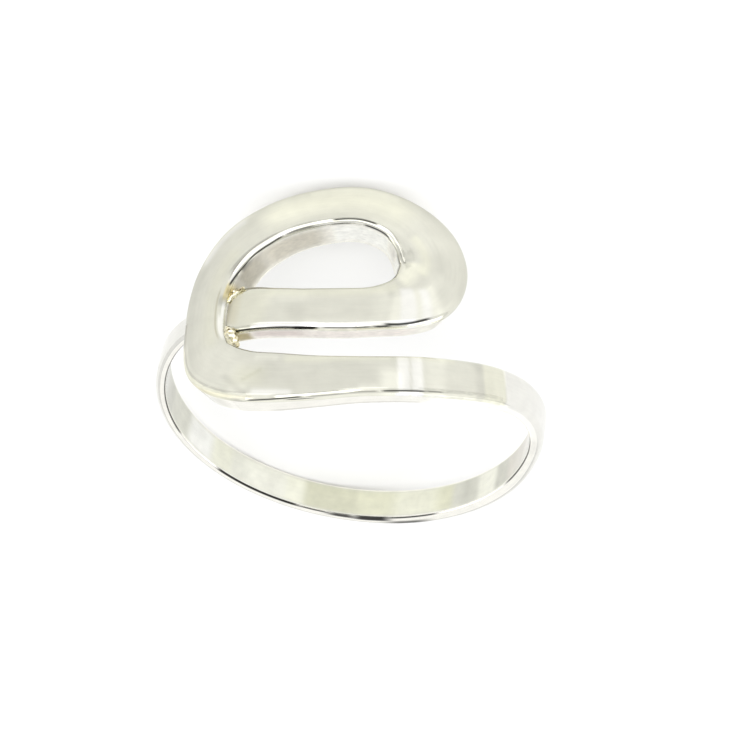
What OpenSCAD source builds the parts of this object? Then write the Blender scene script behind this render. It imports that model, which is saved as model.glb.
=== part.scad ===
// Swirl ring: one strip of silver, bent round the finger and wound into an open swirl on the front.
// It lies on its side, with the swirl's far edge and the back of the band on the floor.

/* [Finger hole] */
// Inner diameter
finger_hole = 17.3; // [15:0.1:21]

/* [Band] */
// Width of the plain band behind the finger
band_width = 1.66; // [1.2:0.02:2.6]
// Thickness of the band on the side where it runs into the swirl
band_thick = 0.74; // [0.6:0.02:1.4]
// Thickness of the band on the side that was filed thin
thin_side = 0.5; // [0.4:0.05:1.4]

/* [Swirl] */
// Height of the swirl along the finger
swirl_height = 11.7; // [8:0.1:16]
// Thickness of the swirl's two bars
bar_thick = 0.95; // [0.7:0.05:1.6]
// Thickness of the swirl's raised outer turn
turn_thick = 1.65; // [0.9:0.05:2.4]

/* [Edges] */
// Rounding of the edges on the outside
edge_round = 0.28; // [0.05:0.01:0.4]
// Rounding of the edges at the finger hole
hole_round = 0.1; // [0:0.01:0.2]

/* [Hidden] */
hole_r = finger_hole / 2;
// the strip starts a little inside the hole, which is then cut true
cut_depth = 0.25;
// the strip is laid out flat at this radius and then rolled up
roll_r = hole_r + 0.45;
// how the ring lies: tipped back, leaning a little to one side and turned to face the front, in degrees
rest_turn = [-13.2, 3.2, -3.4];
// and how far its middle is from the middle of the floor under it
rest_move = [0.067, 0.959, 2.906];
$fn = 96;

// Columns of the tables below: angle round the finger, height of the strip's middle over the band's middle,
// and the strip's width and thickness, all in degrees and mm. Each row is one section across the strip.
ANGLE = 0;
HEIGHT = 1;
WIDTH = 2;
THICK = 3;

// from under the swirl's left side, round behind the finger
band = [
  [-44, 0.60, 1.15, 0.50],
  [-50, 0.55, 1.15, 0.50],
  [-58, 0.42, 1.15, 0.50],
  [-68, 0.24, 1.25, thin_side],
  [-82, 0.08, 1.48, thin_side],
  [-100, 0, band_width, thin_side],
  [-140, 0, band_width, thin_side],
  [-180, 0, band_width, 0.62],
  [-220, 0, band_width, band_thick],
  [-245, 0, band_width, band_thick],
  [-263, 0.02, band_width, 0.65],
];

// rising out of the band to the first bar of the swirl
first_bar = [
  [-280, 0.38, 1.67, 0.66],
  [-302, 1.35, 1.72, 0.76],
  [-315, 2.20, 1.80, 0.88],
  [-337, 3.74, 1.98, bar_thick],
  [-360, 4.97, 2.12, bar_thick],
  [-371, 5.33, 2.40, bar_thick],
  [-382, 5.42, 2.66, 1.05],
];

// round the lower left corner, up the left side and over the top
outer_turn = [
  [-392.5, 5.16, 2.62, 1.15],
  [-398.5, 4.70, 2.50, 1.30],
  [-402.2, 4.12, 2.35, 1.48],
  [-404.1, 3.30, 2.15, 1.60],
  [-405.3, 2.00, 2.06, turn_thick],
  [-405.7, 0.60, 2.18, turn_thick],
  [-404.3, -0.65, 2.34, turn_thick],
  [-399.3, -1.95, 2.42, turn_thick],
  [-390, -2.92, 2.25, turn_thick],
  [-378, -3.58, 2.14, turn_thick],
  [-364, -3.89, 2.14, turn_thick],
  [-355.6, -3.60, 2.30, 1.60],
];

// the broad turn on the right, and back along the crossbar to the left side
crossbar = [
  [-350, -3.12, 2.62, 1.52],
  [-345.9, -2.50, 2.92, 1.45],
  [-343.7, -1.75, 3.08, 1.36],
  [-343.7, -1.00, 3.08, 1.27],
  [-345.8, -0.15, 2.92, 1.17],
  [-350.2, 0.57, 2.50, 1.06],
  [-357.5, 1.15, 2.20, bar_thick],
  [-366, 1.49, 2.24, bar_thick],
  [-378, 1.63, 2.20, bar_thick],
  [-390, 1.49, 2.24, bar_thick],
  [-404, 1.42, 2.15, bar_thick],
];

rows = concat(band, first_bar, outer_turn, crossbar);
last_row = len(rows) - 1;
// longest step along the strip, in mm
step = 0.7;

// where a section lies on the strip laid flat
function flat(s) = [s[ANGLE] * roll_r * PI / 180, s[HEIGHT]];

// how far it is there from one row to the next
function gap(i) = norm(flat(rows[i + 1]) - flat(rows[i]));

// the rows' slope between two rows, and the smooth slope at a row
function chord(i) = (rows[i + 1] - rows[i]) / gap(i);
function slope(i) =
  i == 0 ? chord(0) :
  i == last_row ? chord(last_row - 1) :
  (gap(i) * chord(i - 1) + gap(i - 1) * chord(i)) / (gap(i - 1) + gap(i));

// a smooth curve from row i to the next, at t from 0 to 1
function curve(i, t) =
  rows[i] * (1 + 2 * t) * pow(1 - t, 2)
  + slope(i) * gap(i) * t * pow(1 - t, 2)
  + rows[i + 1] * (3 - 2 * t) * t * t
  + slope(i + 1) * gap(i) * (t - 1) * t * t;

// all sections, close enough together to look round
sections = [
  for (i = [0:last_row - 1])
    let (steps = ceil(gap(i) / step))
      for (k = [0:steps - 1]) curve(i, k / steps),
  rows[last_row],
];
count = len(sections);

// which way is across the strip at a section
function across(i) =
  let (way = flat(sections[min(i + 1, count - 1)]) - flat(sections[max(i - 1, 0)]))
    [-way.y, way.x] / norm(way);

// a section's outline, as [across the strip, out from the finger's middle]
function outline(width, thick) =
  let (side = width / 2, top = hole_r + thick, flat_side = side - edge_round)
    concat(
      [[cut_depth + hole_round - side, hole_r - cut_depth], [-side, hole_r + hole_round]],
      [for (a = [0:30:90]) [-flat_side - edge_round * cos(a), top - edge_round * (1 - sin(a))]],
      [for (k = [1:3]) [flat_side * (k / 2 - 1), top]],
      [for (a = [90:-30:0]) [flat_side + edge_round * cos(a), top - edge_round * (1 - sin(a))]],
      [[side, hole_r + hole_round], [side - hole_round - cut_depth, hole_r - cut_depth]]
    );
corners = len(outline(1, 1));

// rolls a point of section i up round the finger
function rolled(i, p) =
  let (spot = flat(sections[i]) + across(i) * p.x, turn = spot.x / roll_r * 180 / PI)
    [-p.y * sin(turn), -p.y * cos(turn), spot.y];

// a stretch of the strip, from one section to another
module stretch(from, to) {
  points = [
    for (i = [from:to])
      for (p = outline(sections[i][WIDTH], sections[i][THICK])) rolled(i, p),
  ];
  last = (to - from) * corners;
  sides = [
    for (i = [0:to - from - 1])
      for (k = [0:corners - 1])
        let (a = i * corners + k, b = i * corners + (k + 1) % corners)
          each [[a, b + corners, b], [a, a + corners, b + corners]],
  ];
  ends = [for (k = [1:corners - 2]) each [[0, k, k + 1], [last, last + k + 1, last + k]]];
  polyhedron(points=points, faces=concat(sides, ends));
}

module swirl_ring() {
  color("silver")
    translate(rest_move) rotate(rest_turn) difference() {
      resize([0, 0, swirl_height]) {
        stretch(0, floor(count / 3));
        stretch(floor(count / 3), floor(count * 0.8));
        stretch(floor(count * 0.8), count - 1);
      }
      cylinder(h=30, r=hole_r, center=true);
    }
}

swirl_ring();
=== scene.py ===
import math

import bpy
import numpy as np
from mathutils import Euler, Matrix, Vector, noise


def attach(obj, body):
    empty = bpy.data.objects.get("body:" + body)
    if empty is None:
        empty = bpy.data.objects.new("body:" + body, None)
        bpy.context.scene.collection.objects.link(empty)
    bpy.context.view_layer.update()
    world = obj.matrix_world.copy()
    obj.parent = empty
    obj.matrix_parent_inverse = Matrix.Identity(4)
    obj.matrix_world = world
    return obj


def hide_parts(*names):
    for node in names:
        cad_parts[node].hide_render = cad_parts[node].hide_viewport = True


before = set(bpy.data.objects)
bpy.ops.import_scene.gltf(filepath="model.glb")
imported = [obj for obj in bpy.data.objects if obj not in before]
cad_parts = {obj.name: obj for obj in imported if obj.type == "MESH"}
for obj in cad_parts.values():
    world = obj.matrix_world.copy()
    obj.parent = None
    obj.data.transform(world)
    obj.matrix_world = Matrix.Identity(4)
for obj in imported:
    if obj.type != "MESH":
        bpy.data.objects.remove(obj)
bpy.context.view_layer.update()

# Left, right, upper and lower are meant as in the photo, which shows the ring upside down.

MM = 0.001

# Sizes in millimetres, the same as in the construction file
FINGER_HOLE = 17.3
BAND_WIDTH = 1.66
BAND_THICK = 0.74
THIN_SIDE = 0.5
SWIRL_HEIGHT = 11.7
BAR_THICK = 0.95
TURN_THICK = 1.65
EDGE_ROUND = 0.28
HOLE_ROUND = 0.1
HOLE_R = FINGER_HOLE / 2
# the strip is laid out flat at this radius and then rolled up
ROLL_R = HOLE_R + 0.45
# how the ring lies, in degrees, and how far its middle is from the middle of the floor under it
REST_TURN = (-13.2, 3.2, -3.4)
REST_MOVE = (0.067, 0.959, 2.906)

# Sections of the strip: angle round the finger, height over the band's middle, width, thickness
ANGLE, HEIGHT, WIDTH, THICK = range(4)
BAND = [
    (-44, 0.60, 1.15, 0.50),
    (-50, 0.55, 1.15, 0.50),
    (-58, 0.42, 1.15, 0.50),
    (-68, 0.24, 1.25, THIN_SIDE),
    (-82, 0.08, 1.48, THIN_SIDE),
    (-100, 0, BAND_WIDTH, THIN_SIDE),
    (-140, 0, BAND_WIDTH, THIN_SIDE),
    (-180, 0, BAND_WIDTH, 0.62),
    (-220, 0, BAND_WIDTH, BAND_THICK),
    (-245, 0, BAND_WIDTH, BAND_THICK),
    (-263, 0.02, BAND_WIDTH, 0.65),
]
FIRST_BAR = [
    (-280, 0.38, 1.67, 0.66),
    (-302, 1.35, 1.72, 0.76),
    (-315, 2.20, 1.80, 0.88),
    (-337, 3.74, 1.98, BAR_THICK),
    (-360, 4.97, 2.12, BAR_THICK),
    (-371, 5.33, 2.40, BAR_THICK),
    (-382, 5.42, 2.66, 1.05),
]
OUTER_TURN = [
    (-392.5, 5.16, 2.62, 1.15),
    (-398.5, 4.70, 2.50, 1.30),
    (-402.2, 4.12, 2.35, 1.48),
    (-404.1, 3.30, 2.15, 1.60),
    (-405.3, 2.00, 2.06, TURN_THICK),
    (-405.7, 0.60, 2.18, TURN_THICK),
    (-404.3, -0.65, 2.34, TURN_THICK),
    (-399.3, -1.95, 2.42, TURN_THICK),
    (-390, -2.92, 2.25, TURN_THICK),
    (-378, -3.58, 2.14, TURN_THICK),
    (-364, -3.89, 2.14, TURN_THICK),
    (-355.6, -3.60, 2.30, 1.60),
]
CROSSBAR = [
    (-350, -3.12, 2.62, 1.52),
    (-345.9, -2.50, 2.92, 1.45),
    (-343.7, -1.75, 3.08, 1.36),
    (-343.7, -1.00, 3.08, 1.27),
    (-345.8, -0.15, 2.92, 1.17),
    (-350.2, 0.57, 2.50, 1.06),
    (-357.5, 1.15, 2.20, BAR_THICK),
    (-366, 1.49, 2.24, BAR_THICK),
    (-378, 1.63, 2.20, BAR_THICK),
    (-390, 1.49, 2.24, BAR_THICK),
    (-404, 1.42, 2.15, BAR_THICK),
]
ROWS = np.array(BAND + FIRST_BAR + OUTER_TURN + CROSSBAR, float)
TURN_START = len(BAND) + len(FIRST_BAR)
BAR_START = TURN_START + len(OUTER_TURN)
# the construction file's longest step along the strip in millimetres, and how many fine steps are made of it
LONGEST_STEP = 0.7
FINE = 6


# The strip's way, as a smooth curve through the rows
def flat(rows):
    """Where sections lie on the strip laid flat, in millimetres."""
    return np.column_stack([np.radians(rows[:, ANGLE]) * ROLL_R, rows[:, HEIGHT]])


def fine_sections():
    """All sections, and for each the row number that it comes from, as a fraction."""
    gap = np.linalg.norm(np.diff(flat(ROWS), axis=0), axis=1)[:, None]
    chord = np.diff(ROWS, axis=0) / gap
    before, after = gap[:-1], gap[1:]
    inner_slopes = (after * chord[:-1] + before * chord[1:]) / (before + after)
    slope = np.vstack([chord[:1], inner_slopes, chord[-1:]])
    stretches, numbers = [], []
    for i in range(len(ROWS) - 1):
        steps = math.ceil(gap[i, 0] / LONGEST_STEP) * FINE
        t = (np.arange(steps) / steps)[:, None]
        stretches.append(
            ROWS[i] * (1 + 2 * t) * (1 - t) ** 2
            + slope[i] * gap[i] * t * (1 - t) ** 2
            + ROWS[i + 1] * (3 - 2 * t) * t * t
            + slope[i + 1] * gap[i] * (t - 1) * t * t
        )
        numbers.append(i + t[:, 0])
    stretches.append(ROWS[-1:])
    numbers.append([len(ROWS) - 1])
    return np.vstack(stretches), np.concatenate(numbers)


SECTIONS, ROW_OF = fine_sections()
COUNT = len(SECTIONS)
SPOTS = flat(SECTIONS)
# how far along the strip each section is, in millimetres
ALONG = np.concatenate([[0], np.cumsum(np.linalg.norm(np.diff(SPOTS, axis=0), axis=1))])


def ways_across():
    """The way across the strip at each section."""
    k = np.arange(COUNT)
    way = SPOTS[np.minimum(k + FINE, COUNT - 1)] - SPOTS[np.maximum(k - FINE, 0)]
    way /= np.linalg.norm(way, axis=1)[:, None]
    return np.column_stack([-way[:, 1], way[:, 0]])


ACROSS = ways_across()


def smooth(x, low, high):
    """0 below low, 1 above high and smooth between them."""
    t = np.clip((x - low) / (high - low), 0, 1)
    return t * t * (3 - 2 * t)


def bump(x, middle, reach):
    """1 at the middle, falling smoothly to 0 at reach from it."""
    return 1 - smooth(np.abs(x - middle), 0, reach)


def within(x, low, high, blur):
    """1 from low to high and 0 outside, with soft edges."""
    return smooth(x, low - blur, low + blur) * (1 - smooth(x, high - blur, high + blur))


# The strip's outline at one section. Its parts, in order round the section:
(
    OUTER_HOLE_EDGE,
    OUTER_WALL,
    OUTER_EDGE,
    FACE,
    INNER_EDGE,
    INNER_WALL,
    INNER_HOLE_EDGE,
    HOLE_SIDE,
) = range(8)
PART_POINTS = (7, 6, 17, 18, 17, 6, 7, 10)
PARTS = np.repeat(range(len(PART_POINTS)), PART_POINTS)
# how far round the section a point is: its part's number and the share of that part that lies before it
ROUND_SECTION = np.concatenate([n + np.linspace(0, 1, points) for n, points in enumerate(PART_POINTS)])
CORNERS = len(PARTS)

# Changes along the strip. Sizes are in millimetres, and so are places along it. A pair of places is where
# something starts to grow or fade, and where it is done.
# a polished edge takes at most this share of the thickness
MOST_EDGE_SHARE = 0.48
# the inner edge is larger by this share where the crossbar meets the left side
ROUNDER_EDGE, ROUNDER_AT, ROUNDER_REACH = 0.15, 61.5, 4
# the inner side is wider where the broad turn begins, along the crossbar and at the crossbar's end, and that
# end climbs the left side
TURN_WIDER, TURN_WIDER_AT, TURN_WIDER_REACH = 0.13, 73.6, 1.8
BAR_WIDER, BAR_WIDENS = 0.1, (76.2, 78.2)
END_FLARE, END_FLARES = 0.2, (83.4, 84.9)
END_CLIMB, END_CLIMBS = 0.3, (84.9, 85.7)
# the face is crowned by this much, and slopes down to the loop round the broad turn, from and to these
# distances from the inner side
CROWN = 0.03
TURN_SLOPE, SLOPE_GROWS, SLOPE_FADES = 0.07, (70, 73), (76.5, 79)
SLOPE_START, SLOPE_END = 0.95, 0.15
# below this height over the finger hole neither changes the section
FIXED_HEIGHT = 0.2
# the two ends lie within the left side, where their inside is lifted this much off the finger hole
HIDDEN_LIFT, START_SHOWS, END_HIDES = 0.04, (0.9, 1.4), (85.3, 85.6)
# the thickness is evened out over this reach, among sections that are near along the strip too: their weight
# fades with the distance, and this many are looked at on each side
EVEN_REACH, EVEN_FADES, EVEN_SECTIONS = 0.85, (2.5, 4.2), 45
# the end points of a wall, the face or the inside lie inside it by this share of its length
END_INSET = 0.02


def spread(low, high, count):
    """Numbers from low to high, evenly spaced but for the two ends, which lie just inside."""
    return low + (high - low) * np.clip(np.linspace(0, 1, count), END_INSET, 1 - END_INSET)


def half_outline(side, top, edge):
    """From the finger hole out to the face, on the inner side, as (across, radius)."""
    hole_turn = np.linspace(0, math.pi / 2, PART_POINTS[OUTER_HOLE_EDGE])
    edge_turn = np.linspace(0, math.pi / 2, PART_POINTS[OUTER_EDGE])
    wall = spread(HOLE_R + HOLE_ROUND, top - edge, PART_POINTS[OUTER_WALL])
    across = [
        side - HOLE_ROUND * (1 - np.sin(hole_turn)),
        np.full(len(wall), side),
        side - edge * (1 - np.cos(edge_turn)),
    ]
    radius = [
        HOLE_R + HOLE_ROUND * (1 - np.cos(hole_turn)),
        wall,
        top - edge * (1 - np.sin(edge_turn)),
    ]
    return np.column_stack([np.concatenate(across), np.concatenate(radius)])


def outline(i):
    """Points round section i as (across, radius). The inner side is the one towards the loop."""
    width, thick, along = SECTIONS[i, WIDTH], SECTIONS[i, THICK], ALONG[i]
    side, top = width / 2, HOLE_R + thick
    edge = min(EDGE_ROUND, MOST_EDGE_SHARE * thick)
    # the inner edge is filed rounder where the crossbar meets the left side
    inner_edge = edge * (1 + ROUNDER_EDGE * bump(along, ROUNDER_AT, ROUNDER_REACH))
    # the inner side is a little wider where the broad turn begins and along the crossbar, whose end is flared
    # to the left side and climbs it a little
    flare = TURN_WIDER * bump(along, TURN_WIDER_AT, TURN_WIDER_REACH)
    flare += BAR_WIDER * smooth(along, *BAR_WIDENS) + END_FLARE * smooth(along, *END_FLARES)
    climb = END_CLIMB * smooth(along, *END_CLIMBS)
    face = spread(edge - side, side + flare - inner_edge, PART_POINTS[FACE])
    back = spread(side + flare - HOLE_ROUND, HOLE_ROUND - side, PART_POINTS[HOLE_SIDE])
    points = np.vstack([
        half_outline(side, top, edge) * (-1, 1),
        np.column_stack([face, np.full(len(face), top)]),
        half_outline(side, top, inner_edge)[::-1] + (flare, 0),
        np.column_stack([back, np.full(len(back), HOLE_R)]),
    ])
    # the face is a little crowned, and slopes down to the loop round the broad turn
    across = points[:, 0]
    depth = np.clip((points[:, 1] - HOLE_R - FIXED_HEIGHT) / (thick - FIXED_HEIGHT), 0, 1)
    turn = smooth(along, *SLOPE_GROWS) * (1 - smooth(along, *SLOPE_FADES))
    lower = CROWN * (across / side) ** 2
    lower += TURN_SLOPE * turn * smooth(across, side - SLOPE_START, side - SLOPE_END)
    points[:, 1] += depth * (face_height(i, across) - thick - lower + climb)
    return points


def face_height(i, across):
    """The strip's thickness at points across section i, evened out so that bends stay smooth."""
    near = slice(max(i - EVEN_SECTIONS, 0), min(i + EVEN_SECTIONS + 1, COUNT))
    spots = SPOTS[i] + ACROSS[i] * across[:, None]
    reach = np.linalg.norm(spots[:, None] - SPOTS[near][None], axis=2)
    far = np.abs(ALONG[near] - ALONG[i])
    weight = np.exp(-((reach / EVEN_REACH) ** 2)) * (1 - smooth(far, *EVEN_FADES))
    return (weight * SECTIONS[near, THICK]).sum(axis=1) / weight.sum(axis=1)


# The strip's mesh
REST = np.array(Euler([math.radians(a) for a in REST_TURN]).to_matrix())


def rolled(spots, radius):
    """Points of the flat strip, in millimetres, rolled up round the finger."""
    turn = spots[:, 0] / ROLL_R
    return np.column_stack([-radius * np.sin(turn), -radius * np.cos(turn), spots[:, 1]])


def at_rest(points):
    """Points in the ring's own frame, in millimetres, as the ring lies, in metres."""
    return (points @ REST.T + np.array(REST_MOVE)) * MM


def new_object(name, points, faces, rounded=False):
    """A mesh object in the scene. Its faces are shaded smooth if it is rounded."""
    mesh = bpy.data.meshes.new(name)
    mesh.from_pydata([tuple(p) for p in points], [], faces)
    mesh.update()
    for face in mesh.polygons:
        face.use_smooth = rounded
    obj = bpy.data.objects.new(name, mesh)
    bpy.context.scene.collection.objects.link(obj)
    return obj


def build_strip():
    """The strip, and for each of its points the place along it, across it and over the finger hole."""
    local, marks = [], []
    for i in range(COUNT):
        ring = outline(i)
        # the inside of the two ends is kept clear of the left side's own
        hidden = 1 - smooth(ALONG[i], *START_SHOWS) + smooth(ALONG[i], *END_HIDES)
        radius = ring[:, 1] + hidden * HIDDEN_LIFT * (1 - (ring[:, 1] - HOLE_R) / SECTIONS[i, THICK])
        local.append(rolled(SPOTS[i] + ACROSS[i] * ring[:, :1], radius))
        marks.append(np.column_stack([np.full(CORNERS, ALONG[i]), ring[:, 0], radius - HOLE_R]))
    local, marks = np.vstack(local), np.vstack(marks)
    local[:, 2] *= SWIRL_HEIGHT / (local[:, 2].max() - local[:, 2].min())
    corner = np.arange(CORNERS)
    first = np.stack([corner, np.roll(corner, -1)], axis=1)
    quads = np.hstack([first, first[:, ::-1] + CORNERS])
    starts = np.arange(COUNT - 1) * CORNERS
    faces = (quads[None] + starts[:, None, None]).reshape(-1, 4).tolist()
    last = (COUNT - 1) * CORNERS
    faces.append(list(range(CORNERS))[::-1])
    faces.append(list(range(last, last + CORNERS)))
    obj = new_object("silver_strip", at_rest(local), faces, rounded=True)
    layer = obj.data.attributes.new("strip_mm", "FLOAT_VECTOR", "POINT")
    layer.data.foreach_set("vector", marks.astype(np.float32).ravel())
    return obj, marks


strip, strip_marks = build_strip()


# Tints of the silver: how much red, green and blue stay
PLAIN, COOL, YELLOW, OLIVE = (1, 1, 1), (1, 1, 1.07), (1, 1, 0.96), (1, 1, 0.88)
BROWN, PINK, GOLD = (1, 0.97, 0.90), (1, 0.96, 0.97), (1, 0.90, 0.62)
# the face, the walls and the finger hole's side are one silver, each made darker or lighter so that it comes
# out as bright as it looks in its light: painted light and shade
FACE_SILVER = (0.60, 0.595, 0.522)
WALL_SILVER = (0.96, 0.945, 0.88)
HOLE_SILVER = (0.71, 0.71, 0.635)

# Painted reflections, highlights and shade on the strip's face, as lighter and darker places: the middle
# along and across it in millimetres, half the length and width, how soft the edges are, the lean in degrees,
# how light the patch is, and its tint
BAND_PATCHES = [
    # a painted pale reflection all the way to the first bar
    (20.0, 0.0, 23.2, 1.5, 0.1, 0, 1.22, COOL),
]
FIRST_BAR_PATCHES = [
    (43.95, 0.0, 0.75, 1.5, 0.1, 9, 1.14, YELLOW),
    (44.95, 0.0, 0.25, 1.2, 0.2, 9, 0.93, PLAIN),
    (45.10, 0.65, 0.40, 0.2, 0.2, 45, 0.93, PLAIN),
    (46.6, 0.0, 1.6, 1.5, 0.3, 9, 1.07, PLAIN),
    (47.35, 0.0, 0.45, 1.5, 0.25, 9, 1.10, PLAIN),
    (48.2, 0.78, 1.2, 0.10, 0.12, 0, 0.91, PLAIN),
    (48.3, -0.1, 0.26, 1.0, 0.1, 9, 1.28, COOL),
    (48.93, -0.1, 0.27, 1.0, 0.1, 9, 1.28, COOL),
    (49.55, -0.4, 0.45, 0.6, 0.3, 9, 1.24, PLAIN),
    (50.2, 0.9, 4.0, 0.2, 0.2, 0, 1.12, YELLOW),
    (50.6, -0.72, 0.4, 0.12, 0.15, 0, 1.20, PLAIN),
    (52.4, 0.0, 1.9, 1.0, 0.6, 0, 0.965, PLAIN),
    (54.5, -0.95, 0.8, 0.12, 0.12, 0, 1.28, COOL),
    (54.8, 0.25, 0.5, 0.6, 0.4, 0, 0.91, PLAIN),
    (55.1, 0.90, 0.6, 0.15, 0.15, 0, 1.12, PLAIN),
]
CORNER_PATCHES = [
    (55.5, -0.05, 0.5, 0.08, 0.08, -43, 0.90, YELLOW),
    (55.6, -0.1, 0.7, 0.5, 0.4, 0, 1.05, YELLOW),
    (55.9, -0.78, 0.35, 0.15, 0.15, 0, 1.14, PLAIN),
    (56.1, -0.68, 0.75, 0.12, 0.12, 32, 0.87, PLAIN),
    (56.6, -1.22, 1.4, 0.05, 0.06, 0, 0.90, BROWN),
]
LEFT_SIDE_PATCHES = [
    (57.2, 0.1, 1.2, 0.90, 0.6, 0, 1.06, PLAIN),
    (60.6, -0.60, 2.6, 0.22, 0.3, 0, 0.90, PLAIN),
    (61.2, -1.10, 5.0, 0.20, 0.25, 0, 0.82, PLAIN),
    (61.5, 0.5, 3.0, 0.30, 0.4, 0, 1.06, YELLOW),
    (64.5, -0.75, 1.1, 0.12, 0.15, 0, 1.18, COOL),
    (66.0, 0.1, 2.0, 0.80, 0.8, 0, 1.08, PLAIN),
]
ARC_PATCHES = [
    (69.0, -1.05, 4.5, 0.15, 0.15, 0, 0.97, PLAIN),
    (69.3, -0.1, 3.0, 0.60, 0.6, 0, 1.26, YELLOW),
    (70.0, -0.75, 1.6, 0.12, 0.15, 0, 1.11, PLAIN),
    (72.4, 0.78, 1.5, 0.12, 0.15, 0, 1.11, PLAIN),
    (73.2, -0.1, 1.0, 0.60, 0.5, 0, 1.14, PLAIN),
]
BROAD_TURN_PATCHES = [
    (73.9, -1.1, 0.8, 0.4, 0.3, 0, 1.05, PLAIN),
    (74.4, 0.50, 1.3, 0.20, 0.15, 0, 1.12, YELLOW),
    (74.6, -0.14, 1.0, 0.10, 0.1, 0, 0.95, PLAIN),
    (74.6, 1.15, 0.60, 0.25, 0.3, 0, 1.13, PLAIN),
    (74.8, -1.38, 1.4, 0.15, 0.2, 0, 0.97, PLAIN),
    (75.3, -0.75, 1.6, 0.60, 0.4, 0, 1.03, PLAIN),
    (75.7, -0.15, 0.5, 0.25, 0.2, 0, 1.11, PLAIN),
    (76.0, 1.00, 1.0, 0.35, 0.3, 0, 1.25, YELLOW),
]
CROSSBAR_PATCHES = [
    (76.78, -0.60, 0.18, 0.80, 0.12, 29, 1.09, COOL),
    (77.2, -0.50, 0.95, 0.95, 0.15, 25, 1.19, PLAIN),
    (77.44, -0.33, 0.32, 0.95, 0.12, 23, 1.09, COOL),
    (77.7, 0.50, 0.35, 0.20, 0.2, 0, 0.88, PLAIN),
    (78.4, -0.2, 0.45, 1.0, 0.35, 15, 1.08, PLAIN),
    (80.4, -0.75, 1.4, 0.10, 0.12, 0, 1.10, PLAIN),
    (80.5, 0.85, 3.2, 0.20, 0.25, 0, 1.10, YELLOW),
    (82.0, -1.02, 2.2, 0.06, 0.06, 0, 1.50, COOL),
    (82.2, -0.15, 0.40, 0.40, 0.3, 0, 0.91, PLAIN),
    (82.9, 0.55, 1.1, 0.30, 0.3, 0, 1.08, PLAIN),
    (84.4, 0.0, 0.8, 1.2, 0.4, 0, 1.04, YELLOW),
    # painted brown shade at the crossbar's end, where its face goes down to the left side, darkest in a small
    # pit
    (85.35, 0.1, 0.35, 0.9, 0.2, 0, 0.90, BROWN),
    (85.45, 1.02, 0.06, 0.06, 0.06, 0, 0.15, BROWN),
    (85.50, 0.0, 0.18, 0.9, 0.12, 0, 0.60, BROWN),
]
FACE_REFLECTIONS_AND_SHADE = (
    BAND_PATCHES
    + FIRST_BAR_PATCHES
    + CORNER_PATCHES
    + LEFT_SIDE_PATCHES
    + ARC_PATCHES
    + BROAD_TURN_PATCHES
    + CROSSBAR_PATCHES
)

# Reflections inside the finger hole: from and to in millimetres along the strip, how soft the ends are,
# how light each is, and its tint
HOLE_REFLECTIONS = [
    (0.0, 10.2, 0.25, 0.80, PLAIN),
    (10.2, 12.2, 0.25, 0.95, PLAIN),
    (12.5, 14.5, 0.40, 1.23, COOL),
    (14.5, 15.9, 0.25, 1.13, YELLOW),
    (15.9, 16.9, 0.25, 1.08, PLAIN),
    (16.9, 17.7, 0.25, 1.22, PLAIN),
    (17.7, 19.2, 0.25, 1.17, PLAIN),
    (19.2, 20.2, 0.25, 1.19, YELLOW),
    (20.2, 22.9, 0.25, 0.94, OLIVE),
    (22.9, 28.2, 0.25, 1.06, OLIVE),
    (24.9, 27.2, 0.50, 1.07, COOL),
    (28.0, 29.9, 0.40, 0.94, PLAIN),
    (28.8, 29.9, 0.25, 0.93, PLAIN),
    (29.9, 31.3, 0.25, 1.24, PLAIN),
    (31.3, 32.4, 0.25, 0.86, PLAIN),
    (32.4, 36.0, 0.25, 0.92, PINK),
]
# Stripes that run along the strip: from and to in millimetres along it, from and to round its section,
# how soft the ends are, how light the stripe is, and its tint
LOOP_WALL_STRIPES = [
    # golden and brown tarnish by the solder and along the loop's wall
    (61.3, 62.4, 4.45, 5.4, 0.3, 1.00, GOLD),
    (61.7, 62.1, 4.6, 5.3, 0.15, 0.70, BROWN),
    (61.7, 62.8, 5.0, 6, 0.2, 0.75, BROWN),
    (62.8, 65.2, 5.0, 6, 0.5, 0.53, BROWN),
    (65.2, 68.6, 5.0, 6, 0.7, 0.73, BROWN),
    # painted light along the rest of the loop's wall, and painted shade at two places towards its right end
    (68.6, 77.0, 5.0, 6, 0.5, 1.08, PLAIN),
    (72.4, 73.3, 5.0, 5.6, 0.3, 0.82, PLAIN),
    (74.9, 76.5, 4.9, 5.7, 0.2, 0.62, PLAIN),
]
OTHER_WALL_STRIPES = [
    # painted shade where the first bar rises, a painted dark line along its foot, and painted shade round
    # the lower left corner
    (36.0, 45.5, 1.0, 2, 1.5, 0.90, PLAIN),
    (48.0, 54.6, 0.9, 1.15, 0.3, 0.75, PLAIN),
    (56.3, 60.0, 1.0, 2, 0.5, 0.64, YELLOW),
    # the left side's inner edge and wall, up to the crossbar
    (58.9, 61.9, 4.0, 4.16, 0.3, 0.80, BROWN),
    (59.2, 60.4, 5.0, 5.4, 0.3, 0.65, PLAIN),
    (60.9, 61.5, 4.2, 5.0, 0.2, 0.75, PLAIN),
    # the crossbar's lower wall
    (77.5, 84.3, 1.0, 2, 0.5, 0.98, PINK),
    (81.9, 84.2, 1.3, 2, 0.4, 0.86, PINK),
    (84.4, 85.3, 1.0, 2, 0.2, 0.55, GOLD),
]
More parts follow.
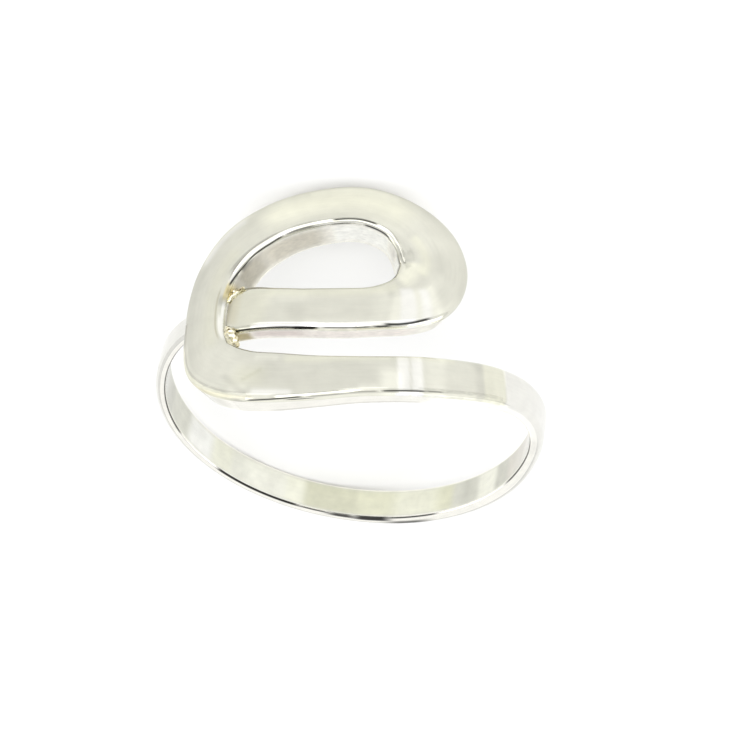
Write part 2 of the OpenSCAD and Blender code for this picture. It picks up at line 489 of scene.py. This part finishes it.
BEVEL_HIGHLIGHTS_AND_SHADE = [
    # painted white highlights on the bevels of the first bar, the left side, the loop and the crossbar
    (43.0, 55.6, 2.0, 2.40, 0.4, 1.50, PLAIN),
    (49.9, 51.7, 2.45, 3, 0.3, 1.42, PLAIN),
    (54.4, 56.0, 2.45, 3, 0.3, 1.42, PLAIN),
    (58.8, 60.3, 4.3, 4.95, 0.3, 1.32, COOL),
    (60.3, 61.2, 4.55, 5.1, 0.3, 1.32, COOL),
    (62.4, 67.1, 4.46, 4.72, 0.3, 1.50, COOL),
    (68.5, 71.9, 4.60, 5, 0.4, 1.35, COOL),
    (76.6, 81.6, 2.0, 2.32, 0.4, 1.45, PLAIN),
    (77.5, 84.0, 2.55, 3, 0.3, 1.50, COOL),
    # painted lighter reflections on the bevels of the corner, the left side and the broad turn, and a
    # slightly darker one on the left side
    (56.1, 59.3, 2.0, 2.85, 0.4, 1.55, YELLOW),
    (56.0, 59.4, 2.84, 3.08, 0.4, 1.13, PLAIN),
    (59.5, 62.0, 2.2, 2.9, 0.3, 0.95, PLAIN),
    (63.4, 66.0, 2.7, 3.05, 0.5, 1.30, PLAIN),
    (75.8, 76.7, 2.3, 3.05, 0.3, 1.12, PLAIN),
    # painted shade along the loop's bevel, beside its highlight
    (63.2, 66.6, 4.06, 4.45, 0.4, 0.70, PLAIN),
    (67.3, 68.4, 4.06, 4.5, 0.3, 0.80, PLAIN),
]
BAND_LINE_STRIPES = [
    # painted dark reflections, as lines along the finger hole's edge
    (3.2, 11.8, 0.3, 0.7, 0.3, 0.15, PLAIN),
    (11.8, 15.1, 0.3, 0.7, 0.3, 0.75, PLAIN),
    (15.1, 20.0, 0.15, 0.85, 0.3, 0.03, PLAIN),
    (20.0, 21.6, 0.3, 0.7, 0.4, 0.10, PLAIN),
    (21.6, 22.9, 0.15, 1.25, 0.4, 0.10, PLAIN),
    (22.9, 24.7, 0.10, 1.45, 0.4, 0.05, PLAIN),
    (24.7, 27.4, 0.3, 0.8, 0.4, 0.10, PLAIN),
    (32.4, 37.6, 0.3, 0.7, 0.4, 0.15, PLAIN),
    # and painted shade, as a dark line, on the band's outer edge
    (24.6, 26.6, 1.6, 2.5, 0.7, 0.20, PLAIN),
]
HOLE_STRIPES = [
    (start, end, HOLE_SIDE, HOLE_SIDE + 1, blur, light, tint)
    for start, end, blur, light, tint in HOLE_REFLECTIONS
]
STRIPES = HOLE_STRIPES + LOOP_WALL_STRIPES + OTHER_WALL_STRIPES + BEVEL_HIGHLIGHTS_AND_SHADE + BAND_LINE_STRIPES
# Painted dark reflections and one painted white highlight, as thin lines in the polished edges: how light a
# line is, half its width round the section, and its way, as places along the strip and round its section
PAINTED_EDGE_LINES = [
    # the first bar's lower edge
    (0.35, 0.02, [(47.2, 2.72), (48.0, 2.69)]),
    (0.06, 0.03, [(48.1, 2.69), (48.4, 2.68), (50.0, 2.61)]),
    (0.50, 0.03, [(50.2, 2.58), (53.0, 2.56)]),
    (0.06, 0.03, [(53.3, 2.53), (53.7, 2.50), (54.3, 2.43), (55.4, 2.25)]),
    # the crossbar's lower edge
    (0.06, 0.07, [(77.0, 2.77), (77.5, 2.66), (78.1, 2.60), (78.6, 2.66)]),
    (0.10, 0.05, [(78.4, 2.44), (79.0, 2.46)]),
    (0.30, 0.04, [(79.2, 2.46), (81.0, 2.44)]),
    (0.10, 0.12, [(81.3, 2.34), (82.2, 2.36)]),
    (0.06, 0.06, [(81.2, 2.40), (81.8, 2.36), (82.5, 2.42), (83.6, 2.38), (85.6, 2.36)]),
    # the loop's edge, from the left side to the top
    (0.05, 0.04, [
        (62.3, 4.68), (63.0, 4.82), (63.7, 4.92), (64.2, 4.92), (65.0, 4.89), (66.0, 4.84), (66.7, 4.69),
    ]),
    (0.40, 0.04, [(66.9, 4.67), (67.9, 4.61), (68.2, 4.60)]),
    (0.06, 0.05, [(69.1, 4.31), (71.3, 4.24)]),
    (0.35, 0.02, [(69.0, 4.80), (69.9, 4.80)]),
    (0.10, 0.06, [(70.7, 4.74), (72.2, 4.78)]),
    # and its right end, with a painted white highlight outside the dark line
    (1.40, 0.08, [(71.9, 4.60), (72.5, 4.56), (73.0, 4.26), (73.4, 4.20)]),
    (0.62, 0.09, [(73.5, 4.41), (73.9, 4.34), (74.3, 4.30), (75.3, 4.28)]),
    (0.45, 0.06, [(73.3, 5.05), (74.0, 4.92), (75.4, 4.90)]),
    (0.30, 0.12, [(75.5, 4.94), (76.4, 4.87), (76.7, 4.72), (77.2, 4.62)]),
    (0.60, 0.08, [(77.3, 4.60), (77.9, 4.60)]),
]
# how softly a stripe ends round the section, and a thin line round the section and at its two ends
STRIPE_BLUR = 0.04
LINE_BLUR, LINE_END_BLUR = 0.09, 0.15


def paint_tone(obj):
    """Stores the silver's tone at each point of the strip, with its painted reflections, highlights and
    shade.
    """
    along, across = strip_marks[:, 0], strip_marks[:, 1]
    part = np.tile(PARTS, COUNT)
    round_section = np.tile(ROUND_SECTION, COUNT)
    on_face = (part >= OUTER_EDGE) & (part <= INNER_EDGE)
    tone = np.tile(WALL_SILVER, (len(part), 1))
    tone[on_face] = FACE_SILVER
    tone[part == HOLE_SIDE] = HOLE_SILVER

    def shade(weight, light, tint):
        tone[:] *= 1 + weight[:, None] * (light * np.array(tint) - 1)

    for place, side, half_along, half_across, blur, lean, light, tint in FACE_REFLECTIONS_AND_SHADE:
        turn = math.radians(lean)
        x = (along - place) * math.cos(turn) + (across - side) * math.sin(turn)
        y = (across - side) * math.cos(turn) - (along - place) * math.sin(turn)
        weight = within(x, -half_along, half_along, blur) * within(y, -half_across, half_across, blur)
        shade(on_face * weight, light, tint)
    for start, end, low, high, blur, light, tint in STRIPES:
        on_part = (part >= math.floor(low)) & (part < math.ceil(high))
        weight = within(along, start, end, blur) * within(round_section, low, high, STRIPE_BLUR)
        shade(on_part * weight, light, tint)
    for light, half_width, way in PAINTED_EDGE_LINES:
        places, rounds = zip(*way)
        off = np.abs(round_section - np.interp(along, places, rounds))
        near = 1 - smooth(off, half_width, half_width + LINE_BLUR)
        shade(near * within(along, places[0], places[-1], LINE_END_BLUR), light, PLAIN)
    colours = np.column_stack([np.clip(tone, 0, 1), np.ones(len(tone))])
    layer = obj.data.attributes.new("tone", "FLOAT_COLOR", "POINT")
    layer.data.foreach_set("color", colours.astype(np.float32).ravel())


paint_tone(strip)

# Materials. Noise mostly lies between these two values.
NOISE_LOW, NOISE_HIGH = 0.25, 0.75
# how fine the faint cloudiness of the silver is, per millimetre
CLOUD_SCALE = (1.6, 1.6, 1.6)


def new_material(name):
    """A material, its nodes, its links and its shader."""
    mat = bpy.data.materials.new(name)
    mat.use_nodes = True
    tree = mat.node_tree
    return mat, tree.nodes, tree.links, tree.nodes["Principled BSDF"]


def strip_noise(nodes, links, scale, detail):
    """Noise that follows the strip. Its scale is along, across and through the strip, per millimetre."""
    marks = nodes.new("ShaderNodeAttribute")
    marks.attribute_name = "strip_mm"
    scaled = nodes.new("ShaderNodeVectorMath")
    scaled.operation = "MULTIPLY"
    scaled.inputs[1].default_value = scale
    links.new(marks.outputs["Vector"], scaled.inputs[0])
    grain = nodes.new("ShaderNodeTexNoise")
    grain.inputs["Scale"].default_value = 1
    grain.inputs["Detail"].default_value = detail
    links.new(scaled.outputs["Vector"], grain.inputs["Vector"])
    return grain.outputs["Fac"]


def graded(nodes, links, value, low, high):
    """Noise turned into a value from low to high."""
    grade = nodes.new("ShaderNodeMapRange")
    grade.inputs["From Min"].default_value = NOISE_LOW
    grade.inputs["From Max"].default_value = NOISE_HIGH
    grade.inputs["To Min"].default_value = low
    grade.inputs["To Max"].default_value = high
    links.new(value, grade.inputs["Value"])
    return grade.outputs["Result"]


def silver(name, gain, clouds, roughness, scale, relief_mm):
    """Silver with fine scratches along the strip and a faint cloudiness. Ranges are low and high."""
    mat, nodes, links, shader = new_material(name)
    shader.inputs["Metallic"].default_value = 1.0
    scratches = strip_noise(nodes, links, scale, 5)
    cloud = strip_noise(nodes, links, CLOUD_SCALE, 4)
    # the tone holds the painted reflections, highlights and shade as well as the stains
    tone = nodes.new("ShaderNodeAttribute")
    tone.attribute_name = "tone"
    colour = tone.outputs["Color"]
    for value in (graded(nodes, links, scratches, *gain), graded(nodes, links, cloud, *clouds)):
        scaled = nodes.new("ShaderNodeVectorMath")
        scaled.operation = "SCALE"
        links.new(colour, scaled.inputs[0])
        links.new(value, scaled.inputs["Scale"])
        colour = scaled.outputs["Vector"]
    links.new(colour, shader.inputs["Base Color"])
    links.new(graded(nodes, links, scratches, *roughness), shader.inputs["Roughness"])
    relief = nodes.new("ShaderNodeBump")
    relief.inputs["Strength"].default_value = 1
    relief.inputs["Distance"].default_value = relief_mm * MM
    links.new(scratches, relief.inputs["Height"])
    links.new(relief.outputs["Normal"], shader.inputs["Normal"])
    return mat


# The strip's materials, in the order of their numbers: the polished face, the rough walls and the side of the
# finger hole
FACE_MATERIAL, WALL_MATERIAL, HOLE_MATERIAL = range(3)
strip.data.materials.append(silver(
    "silver_face",
    gain=(0.97, 1.03),
    clouds=(0.96, 1.04),
    roughness=(0.08, 0.14),
    scale=(0.8, 9, 9),
    relief_mm=0.001,
))
strip.data.materials.append(silver(
    "silver_wall",
    gain=(0.82, 1.05),
    clouds=(0.90, 1.05),
    roughness=(0.35, 0.55),
    scale=(3.5, 11, 11),
    relief_mm=0.012,
))
strip.data.materials.append(silver(
    "silver_hole",
    gain=(0.97, 1.02),
    clouds=(0.91, 1.07),
    roughness=(0.10, 0.18),
    scale=(0.6, 6, 6),
    relief_mm=0.001,
))
# where the outer edge is as rough as a wall, in millimetres along the strip
ROUGH_EDGES = [(43.5, 48.3), (55.4, 60.5), (79.6, 81.2)]
# the rows of sections after which the inner and the outer wall are rough
ROUGH_INNER_WALL, ROUGH_OUTER_WALL = TURN_START, BAR_START + 4


def strip_material(part, i):
    """The number of the material of a part at section i."""
    if part in (OUTER_HOLE_EDGE, INNER_HOLE_EDGE, HOLE_SIDE):
        return HOLE_MATERIAL
    rough = (
        part == OUTER_EDGE and any(start < ALONG[i] < end for start, end in ROUGH_EDGES)
        or part == INNER_WALL and ROW_OF[i] > ROUGH_INNER_WALL
        or part == OUTER_WALL and ROW_OF[i] > ROUGH_OUTER_WALL
    )
    return WALL_MATERIAL if rough else FACE_MATERIAL


material_numbers = [strip_material(part, i) for i in range(COUNT - 1) for part in PARTS]
# the last two faces are the strip's ends
material_numbers += [FACE_MATERIAL, FACE_MATERIAL]
strip.data.polygons.foreach_set("material_index", material_numbers)
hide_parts("swirl_ring")
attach(strip, "root")


# Solder where the crossbar's end meets the left side, in runs of lumps: angle round the finger, height over
# the band's middle, depth over the finger hole, and size, in degrees and millimetres
SOLDER_RUNS = [
    # below the crossbar
    [
        (-398.6, 2.42, 1.12, 0.10),
        (-397.9, 2.58, 0.90, 0.24),
        (-397.2, 2.76, 0.64, 0.17),
        (-396.8, 2.98, 0.42, 0.11),
    ],
    # above it, from the left side to the crossbar's edge
    [
        (-398.95, 0.98, 1.22, 0.08),
        (-398.3, 0.61, 1.14, 0.12),
        (-397.2, 0.36, 1.04, 0.10),
        (-396.2, 0.20, 0.98, 0.07),
    ],
    [
        (-399.7, 0.66, 1.24, 0.10),
        (-398.9, 0.40, 1.04, 0.13),
    ],
]
LUMPS_A_STEP = 4
LUMP_ROWS, LUMP_COLUMNS = 13, 20
# how many dents there are to a millimetre, and how deep they are as a share of a lump's size
DENTS_A_MM, DENT_DEPTH = 7, 0.45
# how fine the solder's grain is, per metre
SOLDER_GRAIN = 5000


def ball_mesh():
    """A ball of radius 1: its points and faces."""
    # the rings of points between the ball's top and bottom
    rings = LUMP_ROWS - 2
    down = np.linspace(0, math.pi, LUMP_ROWS)[1:-1]
    turn = np.arange(LUMP_COLUMNS) * 2 * math.pi / LUMP_COLUMNS
    down, turn = (grid.ravel() for grid in np.meshgrid(down, turn, indexing="ij"))
    ball = np.column_stack([np.sin(down) * np.cos(turn), np.sin(down) * np.sin(turn), np.cos(down)])
    ball = np.vstack([ball, [(0, 0, 1), (0, 0, -1)]])
    top, bottom = len(ball) - 2, len(ball) - 1
    k = np.arange(LUMP_COLUMNS)
    after = (k + 1) % LUMP_COLUMNS
    faces = []
    for row in range(rings - 1):
        a, b = row * LUMP_COLUMNS, (row + 1) * LUMP_COLUMNS
        faces += np.column_stack([a + k, b + k, b + after, a + after]).tolist()
    last = (rings - 1) * LUMP_COLUMNS
    neighbours = list(zip(k.tolist(), after.tolist()))
    faces += [(top, i, j) for i, j in neighbours]
    faces += [(bottom, last + j, last + i) for i, j in neighbours]
    return ball, faces


def build_solder():
    """The runs of solder. Each lump is dented by noise, and sunk into the corner that it fills."""
    ball, ball_faces = ball_mesh()
    lumps, faces = [], []
    for run in SOLDER_RUNS:
        columns = list(zip(*run))
        for step in np.linspace(0, len(run) - 1, LUMPS_A_STEP * (len(run) - 1) + 1):
            angle, height, depth, size = (np.interp(step, range(len(run)), column) for column in columns)
            turn, radius = math.radians(angle), HOLE_R + depth
            middle = np.array((-radius * math.sin(turn), -radius * math.cos(turn), height))
            dents = np.array([noise.noise(Vector((middle + p * size) * DENTS_A_MM)) for p in ball])
            first = len(lumps) * len(ball)
            faces += [tuple(first + v for v in face) for face in ball_faces]
            lumps.append(ball * (size * (1 + DENT_DEPTH * dents))[:, None] + middle)
    return new_object("solder_joint", at_rest(np.vstack(lumps)), faces, rounded=True)


def solder_material():
    """Rough, slightly golden metal, with painted shade of pits as dark spots."""
    mat, nodes, links, shader = new_material("solder")
    shader.inputs["Metallic"].default_value = 1.0
    place = nodes.new("ShaderNodeTexCoord")
    grain = nodes.new("ShaderNodeTexNoise")
    grain.inputs["Scale"].default_value = SOLDER_GRAIN
    grain.inputs["Detail"].default_value = 3
    links.new(place.outputs["Object"], grain.inputs["Vector"])
    colours = nodes.new("ShaderNodeValToRGB")
    pit_shade, metal = colours.color_ramp.elements
    pit_shade.position = 0.32
    pit_shade.color = (0.10, 0.07, 0.03, 1)
    metal.position = 0.52
    metal.color = (0.97, 0.95, 0.80, 1)
    golden = colours.color_ramp.elements.new(0.42)
    golden.color = (0.80, 0.73, 0.50, 1)
    links.new(grain.outputs["Fac"], colours.inputs["Fac"])
    links.new(colours.outputs["Color"], shader.inputs["Base Color"])
    links.new(graded(nodes, links, grain.outputs["Fac"], 0.45, 0.15), shader.inputs["Roughness"])
    return mat


solder = build_solder()
solder.data.materials.append(solder_material())
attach(solder, "root")

# Floor, light and camera, with places and sizes in metres
FLOOR_HALF = 1.5
LAMP_AIM = Vector((0, 0, 0.005))
# the dark spot in the room's ceiling, at the back: how high it stands, and how far from its middle it starts
# to fade and has faded
DARK_SPOT_HEIGHT = math.radians(75)
DARK_SPOT_INSIDE, DARK_SPOT_OUTSIDE = math.radians(5.5), math.radians(9)


def make_floor():
    """A plain pale floor."""
    half = FLOOR_HALF
    corners = [(-half, -half, 0), (half, -half, 0), (half, half, 0), (-half, half, 0)]
    floor = new_object("floor", corners, [(0, 1, 2, 3)])
    mat, nodes, links, shader = new_material("floor_paper")
    shader.inputs["Base Color"].default_value = (0.93, 0.93, 0.93, 1)
    shader.inputs["Roughness"].default_value = 0.9
    floor.data.materials.append(mat)


def soft_light(name, place, size, power):
    """A square lamp that faces the ring. Its power is in watts."""
    data = bpy.data.lights.new(name, "AREA")
    data.shape = "SQUARE"
    data.size = size
    data.energy = power
    lamp = bpy.data.objects.new(name, data)
    lamp.location = place
    lamp.rotation_euler = (LAMP_AIM - Vector(place)).to_track_quat("-Z", "Y").to_euler()
    bpy.context.scene.collection.objects.link(lamp)


def make_sky():
    """A pale room with a dark spot in its ceiling, which shows as thin lines in the polished edges."""
    world = bpy.data.worlds.new("studio")
    bpy.context.scene.world = world
    world.use_nodes = True
    nodes, links = world.node_tree.nodes, world.node_tree.links
    nodes["Background"].inputs["Color"].default_value = (1, 1, 1, 1)
    place = nodes.new("ShaderNodeTexCoord")
    facing = nodes.new("ShaderNodeVectorMath")
    facing.operation = "DOT_PRODUCT"
    facing.inputs[1].default_value = (0, math.cos(DARK_SPOT_HEIGHT), math.sin(DARK_SPOT_HEIGHT))
    links.new(place.outputs["Generated"], facing.inputs[0])
    level = nodes.new("ShaderNodeMapRange")
    level.interpolation_type = "SMOOTHSTEP"
    level.inputs["From Min"].default_value = math.cos(DARK_SPOT_OUTSIDE)
    level.inputs["From Max"].default_value = math.cos(DARK_SPOT_INSIDE)
    level.inputs["To Min"].default_value = 1.0
    level.inputs["To Max"].default_value = 0.02
    links.new(facing.outputs["Value"], level.inputs["Value"])
    links.new(level.outputs["Result"], nodes["Background"].inputs["Strength"])


def make_camera():
    """The photo's view of the ring, which stands on its head in it."""
    data = bpy.data.cameras.new("camera")
    data.sensor_width = 36
    data.lens = 207.3
    camera = bpy.data.objects.new("camera", data)
    eye = Vector((0.00020, -0.13535, 0.14990))
    target = Vector((-0.00074, -0.00048, 0.00220))
    picture_up = Vector((0.0985, -0.7273, -0.6792))
    back = (eye - target).normalized()
    right = picture_up.cross(back).normalized()
    up = back.cross(right)
    turn = Matrix((right, up, back)).transposed()
    camera.matrix_world = Matrix.Translation(eye) @ turn.to_4x4()
    bpy.context.scene.collection.objects.link(camera)
    bpy.context.scene.camera = camera


make_floor()
soft_light("front_light", (0.05, -0.5, 0.42), size=0.55, power=1.5)
soft_light("left_light", (0.6, 0.1, 0.35), size=0.5, power=0.8)
soft_light("right_light", (-0.6, 0.1, 0.35), size=0.5, power=0.8)
make_sky()
bpy.context.scene.view_settings.view_transform = "Standard"
make_camera()
